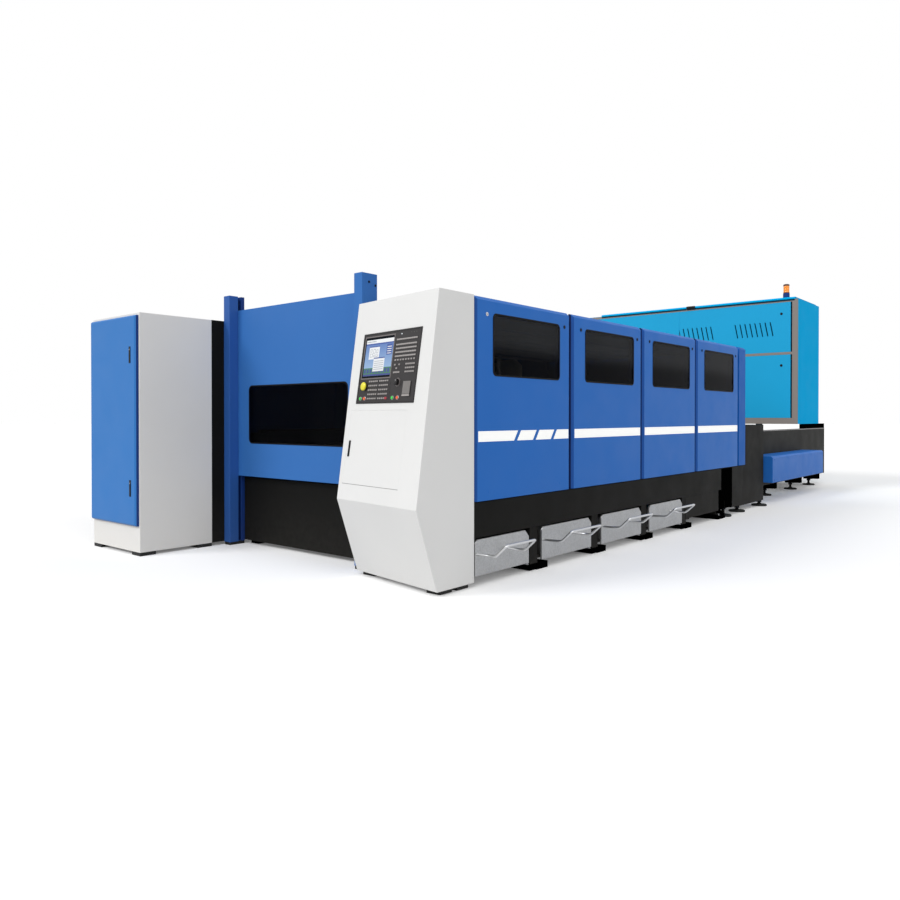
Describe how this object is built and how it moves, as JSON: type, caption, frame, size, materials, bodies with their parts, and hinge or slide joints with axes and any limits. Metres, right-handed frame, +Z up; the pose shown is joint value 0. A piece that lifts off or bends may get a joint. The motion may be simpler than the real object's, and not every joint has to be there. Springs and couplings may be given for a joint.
{
  "type": "fiber laser cutting machine",
  "caption": "Enclosed laser cutting machine with side doors, lift door, console, cabinet, drawers, pallet shuttle and rear housing.",
  "frame": {"origin": "on the floor, under the middle of the whole object's box", "axes": "+X to the side with the drawers and the row of side doors, +Y from the operator's end to the shuttle table and rear housing, +Z up"},
  "size_m": [4.465, 11.0339, 3.2849],
  "materials": {
    "beacon_orange_plastic": "translucent orange lens",
    "black_bed_enamel": "satin black enamel",
    "black_latch_plastic": "semi-gloss black",
    "bright_steel": "machined",
    "cyan_enamel": "semi-gloss cyan enamel",
    "door_blue_enamel": "semi-gloss blue enamel",
    "frame_blue_enamel": "semi-gloss dark blue enamel",
    "frame_grey_enamel": "satin warm grey enamel",
    "galvanised_sheet": "zinc-coated sheet",
    "green_button_plastic": "glossy",
    "machine_grey_enamel": "satin grey enamel",
    "orange_button_plastic": "glossy",
    "pale_grey_enamel": "fine textured pale grey enamel",
    "pallet_steel": "dull worn steel",
    "panel_dark_grey": "fine matte dark grey",
    "screen_glass": "smooth glass over a lit screen",
    "stop_yellow_plastic": "glossy",
    "tinted_glass": "dark tinted laser safety glass"
  },
  "bodies": {
    "machine": {"bed_frame": "black_bed_enamel", "front_portal": "frame_blue_enamel", "front_skirt": "black_bed_enamel", "guide_post_left": "frame_blue_enamel", "guide_post_right": "frame_blue_enamel", "enclosure_frame": "frame_blue_enamel", "left_wall": "door_blue_enamel", "roof_panel": "door_blue_enamel", "end_panel": "door_blue_enamel", "console_housing": "pale_grey_enamel", "control_panel": "panel_dark_grey", "display": "screen_glass", "cabinet_body": "pale_grey_enamel", "cable_duct": "black_bed_enamel", "shuttle_bridge": "black_bed_enamel", "shuttle_frame": "black_bed_enamel", "drive_cover": "door_blue_enamel", "housing_frame": "frame_grey_enamel", "housing_shell": "cyan_enamel", "housing_front_panel": "cyan_enamel", "support_block": "black_bed_enamel", "support_stand": "black_bed_enamel"},
    "lift_door": {"lift_door": "door_blue_enamel", "lift_window": "tinted_glass"},
    "side_door_1": {"side_door_1": "door_blue_enamel", "side_window_1": "tinted_glass"},
    "side_door_2": {"side_door_2": "door_blue_enamel", "side_window_2": "tinted_glass"},
    "side_door_3": {"side_door_3": "door_blue_enamel", "side_window_3": "tinted_glass"},
    "side_door_4": {"side_door_4": "door_blue_enamel", "side_window_4": "tinted_glass"},
    "console_door": {"console_door": "pale_grey_enamel"},
    "console_latch": {"console_latch": "black_latch_plastic"},
    "cabinet_door": {"cabinet_door": "door_blue_enamel"},
    "cabinet_latch_upper": {"cabinet_latch_upper": "black_latch_plastic"},
    "cabinet_latch_lower": {"cabinet_latch_lower": "black_latch_plastic"},
    "emergency_stop": {"emergency_stop": "stop_yellow_plastic"},
    "override_dial": {"override_dial": "black_bed_enamel"},
    "start_button_left": {"start_button_left": "green_button_plastic"},
    "halt_button_left": {"halt_button_left": "orange_button_plastic"},
    "start_button_right": {"start_button_right": "green_button_plastic"},
    "halt_button_right": {"halt_button_right": "orange_button_plastic"},
    "gantry_beam": {"gantry_beam": "machine_grey_enamel"},
    "head_carriage": {"head_carriage": "pale_grey_enamel"},
    "cutting_head": {"cutting_head": "bright_steel"},
    "pallet_upper": {"pallet_upper": "pallet_steel"},
    "pallet_lower": {"pallet_lower": "pallet_steel"},
    "housing_upper_door": {"housing_upper_door": "cyan_enamel"},
    "housing_lower_door": {"housing_lower_door": "cyan_enamel"},
    "housing_lid_left": {"housing_lid_left": "cyan_enamel"},
    "chain_sprocket_left": {"chain_sprocket_left": "bright_steel"},
    "chain_sprocket_right": {"chain_sprocket_right": "bright_steel"},
    "scrap_drawer_1": {"scrap_drawer_1": "galvanised_sheet"},
    "scrap_drawer_2": {"scrap_drawer_2": "galvanised_sheet"},
    "scrap_drawer_3": {"scrap_drawer_3": "galvanised_sheet"},
    "scrap_drawer_4": {"scrap_drawer_4": "galvanised_sheet"},
    "housing_lid_right": {"housing_lid_right": "cyan_enamel", "beacon_base": "frame_blue_enamel", "beacon_dome": "beacon_orange_plastic"}
  },
  "joints": [
    {"name": "lift_door_slide", "type": "slide", "parent": "machine", "child": "lift_door", "axis": [0, 0, 1], "range_m": [0, 0.95]},
    {"name": "side_door_1_hinge", "type": "hinge", "parent": "machine", "child": "side_door_1", "pos_m": [1.9725, -4.57365, 0.582], "axis": [0, 0, -1], "range_deg": [0, 100]},
    {"name": "side_door_2_hinge", "type": "hinge", "parent": "machine", "child": "side_door_2", "pos_m": [1.9725, -3.30365, 0.582], "axis": [0, 0, -1], "range_deg": [0, 100]},
    {"name": "side_door_3_hinge", "type": "hinge", "parent": "machine", "child": "side_door_3", "pos_m": [1.9725, -2.03365, 0.582], "axis": [0, 0, -1], "range_deg": [0, 100]},
    {"name": "side_door_4_hinge", "type": "hinge", "parent": "machine", "child": "side_door_4", "pos_m": [1.9725, -0.76365, 0.582], "axis": [0, 0, -1], "range_deg": [0, 100]},
    {"name": "console_door_hinge", "type": "hinge", "parent": "machine", "child": "console_door", "pos_m": [1.75751, -5.10938, 0.69328], "axis": [0.027, 0.1492, 0.9884], "range_deg": [0, 110]},
    {"name": "console_latch_pivot", "type": "hinge", "parent": "console_door", "child": "console_latch", "pos_m": [1.13217, -4.94854, 0.99164], "axis": [-0.984, 0.1783, 0], "range_deg": [0, 90]},
    {"name": "cabinet_door_hinge", "type": "hinge", "parent": "machine", "child": "cabinet_door", "pos_m": [-1.6875, -5.51295, 0.25], "axis": [0, 0, -1], "range_deg": [0, 110]},
    {"name": "cabinet_latch_upper_pivot", "type": "hinge", "parent": "cabinet_door", "child": "cabinet_latch_upper", "pos_m": [-0.9685, -5.51195, 1.745], "axis": [-1, 0, 0], "range_deg": [0, 90]},
    {"name": "cabinet_latch_lower_pivot", "type": "hinge", "parent": "cabinet_door", "child": "cabinet_latch_lower", "pos_m": [-0.9685, -5.51195, 0.625], "axis": [-1, 0, 0], "range_deg": [0, 90]},
    {"name": "scrap_drawer_1_slide", "type": "slide", "parent": "machine", "child": "scrap_drawer_1", "axis": [1, 0, 0], "range_m": [0, 0.76]},
    {"name": "scrap_drawer_2_slide", "type": "slide", "parent": "machine", "child": "scrap_drawer_2", "axis": [1, 0, 0], "range_m": [0, 0.76]},
    {"name": "scrap_drawer_3_slide", "type": "slide", "parent": "machine", "child": "scrap_drawer_3", "axis": [1, 0, 0], "range_m": [0, 0.76]},
    {"name": "scrap_drawer_4_slide", "type": "slide", "parent": "machine", "child": "scrap_drawer_4", "axis": [1, 0, 0], "range_m": [0, 0.76]},
    {"name": "gantry_slide", "type": "slide", "parent": "machine", "child": "gantry_beam", "axis": [0, 1, 0], "range_m": [-1.5, 2.8]},
    {"name": "carriage_slide", "type": "slide", "parent": "gantry_beam", "child": "head_carriage", "axis": [1, 0, 0], "range_m": [-1.15, 0.55]},
    {"name": "head_slide", "type": "slide", "parent": "head_carriage", "child": "cutting_head", "axis": [0, 0, 1], "range_m": [-0.1, 0.06]},
    {"name": "pallet_upper_slide", "type": "slide", "parent": "machine", "child": "pallet_upper", "axis": [0, 1, 0], "range_m": [0, 5.4456]},
    {"name": "pallet_lower_slide", "type": "slide", "parent": "machine", "child": "pallet_lower", "axis": [0, 1, 0], "range_m": [-5.4456, 0]},
    {"name": "emergency_stop_press", "type": "slide", "parent": "machine", "child": "emergency_stop", "axis": [0.1762, 0.9726, -0.1516], "range_m": [0, 0.005], "stiffness_N_per_m": 600},
    {"name": "start_button_left_press", "type": "slide", "parent": "machine", "child": "start_button_left", "axis": [0.1762, 0.9726, -0.1516], "range_m": [0, 0.004], "stiffness_N_per_m": 300},
    {"name": "halt_button_left_press", "type": "slide", "parent": "machine", "child": "halt_button_left", "axis": [0.1762, 0.9726, -0.1516], "range_m": [0, 0.004], "stiffness_N_per_m": 300},
    {"name": "start_button_right_press", "type": "slide", "parent": "machine", "child": "start_button_right", "axis": [0.1762, 0.9726, -0.1516], "range_m": [0, 0.004], "stiffness_N_per_m": 300},
    {"name": "halt_button_right_press", "type": "slide", "parent": "machine", "child": "halt_button_right", "axis": [0.1762, 0.9726, -0.1516], "range_m": [0, 0.004], "stiffness_N_per_m": 300},
    {"name": "override_dial_turn", "type": "hinge", "parent": "machine", "child": "override_dial", "pos_m": [1.63251, -4.97983, 1.39889], "axis": [0.1762, 0.9726, -0.1516], "range_deg": [-135, 135]},
    {"name": "housing_lower_door_hinge", "type": "hinge", "parent": "machine", "child": "housing_lower_door", "pos_m": [-0.2817, 3.98635, 1.145], "axis": [0, 0, -1], "range_deg": [0, 100]},
    {"name": "housing_upper_door_hinge", "type": "hinge", "parent": "machine", "child": "housing_upper_door", "pos_m": [-0.2817, 3.98635, 2.19], "axis": [0, 0, -1], "range_deg": [0, 100]},
    {"name": "housing_lid_right_hinge", "type": "hinge", "parent": "machine", "child": "housing_lid_right", "pos_m": [1.6675, 5.15635, 3.0203], "axis": [-1, 0, 0], "range_deg": [0, 75]},
    {"name": "housing_lid_left_hinge", "type": "hinge", "parent": "machine", "child": "housing_lid_left", "pos_m": [-0.1505, 5.15635, 3.0203], "axis": [-1, 0, 0], "range_deg": [0, 75]},
    {"name": "chain_sprocket_left_spin", "type": "hinge", "parent": "machine", "child": "chain_sprocket_left", "pos_m": [-0.8552, -4.56585, 2.198], "axis": [1, 0, 0], "continuous": true},
    {"name": "chain_sprocket_right_spin", "type": "hinge", "parent": "machine", "child": "chain_sprocket_right", "pos_m": [0.9485, -4.56585, 2.198], "axis": [1, 0, 0], "continuous": true}
  ]
}
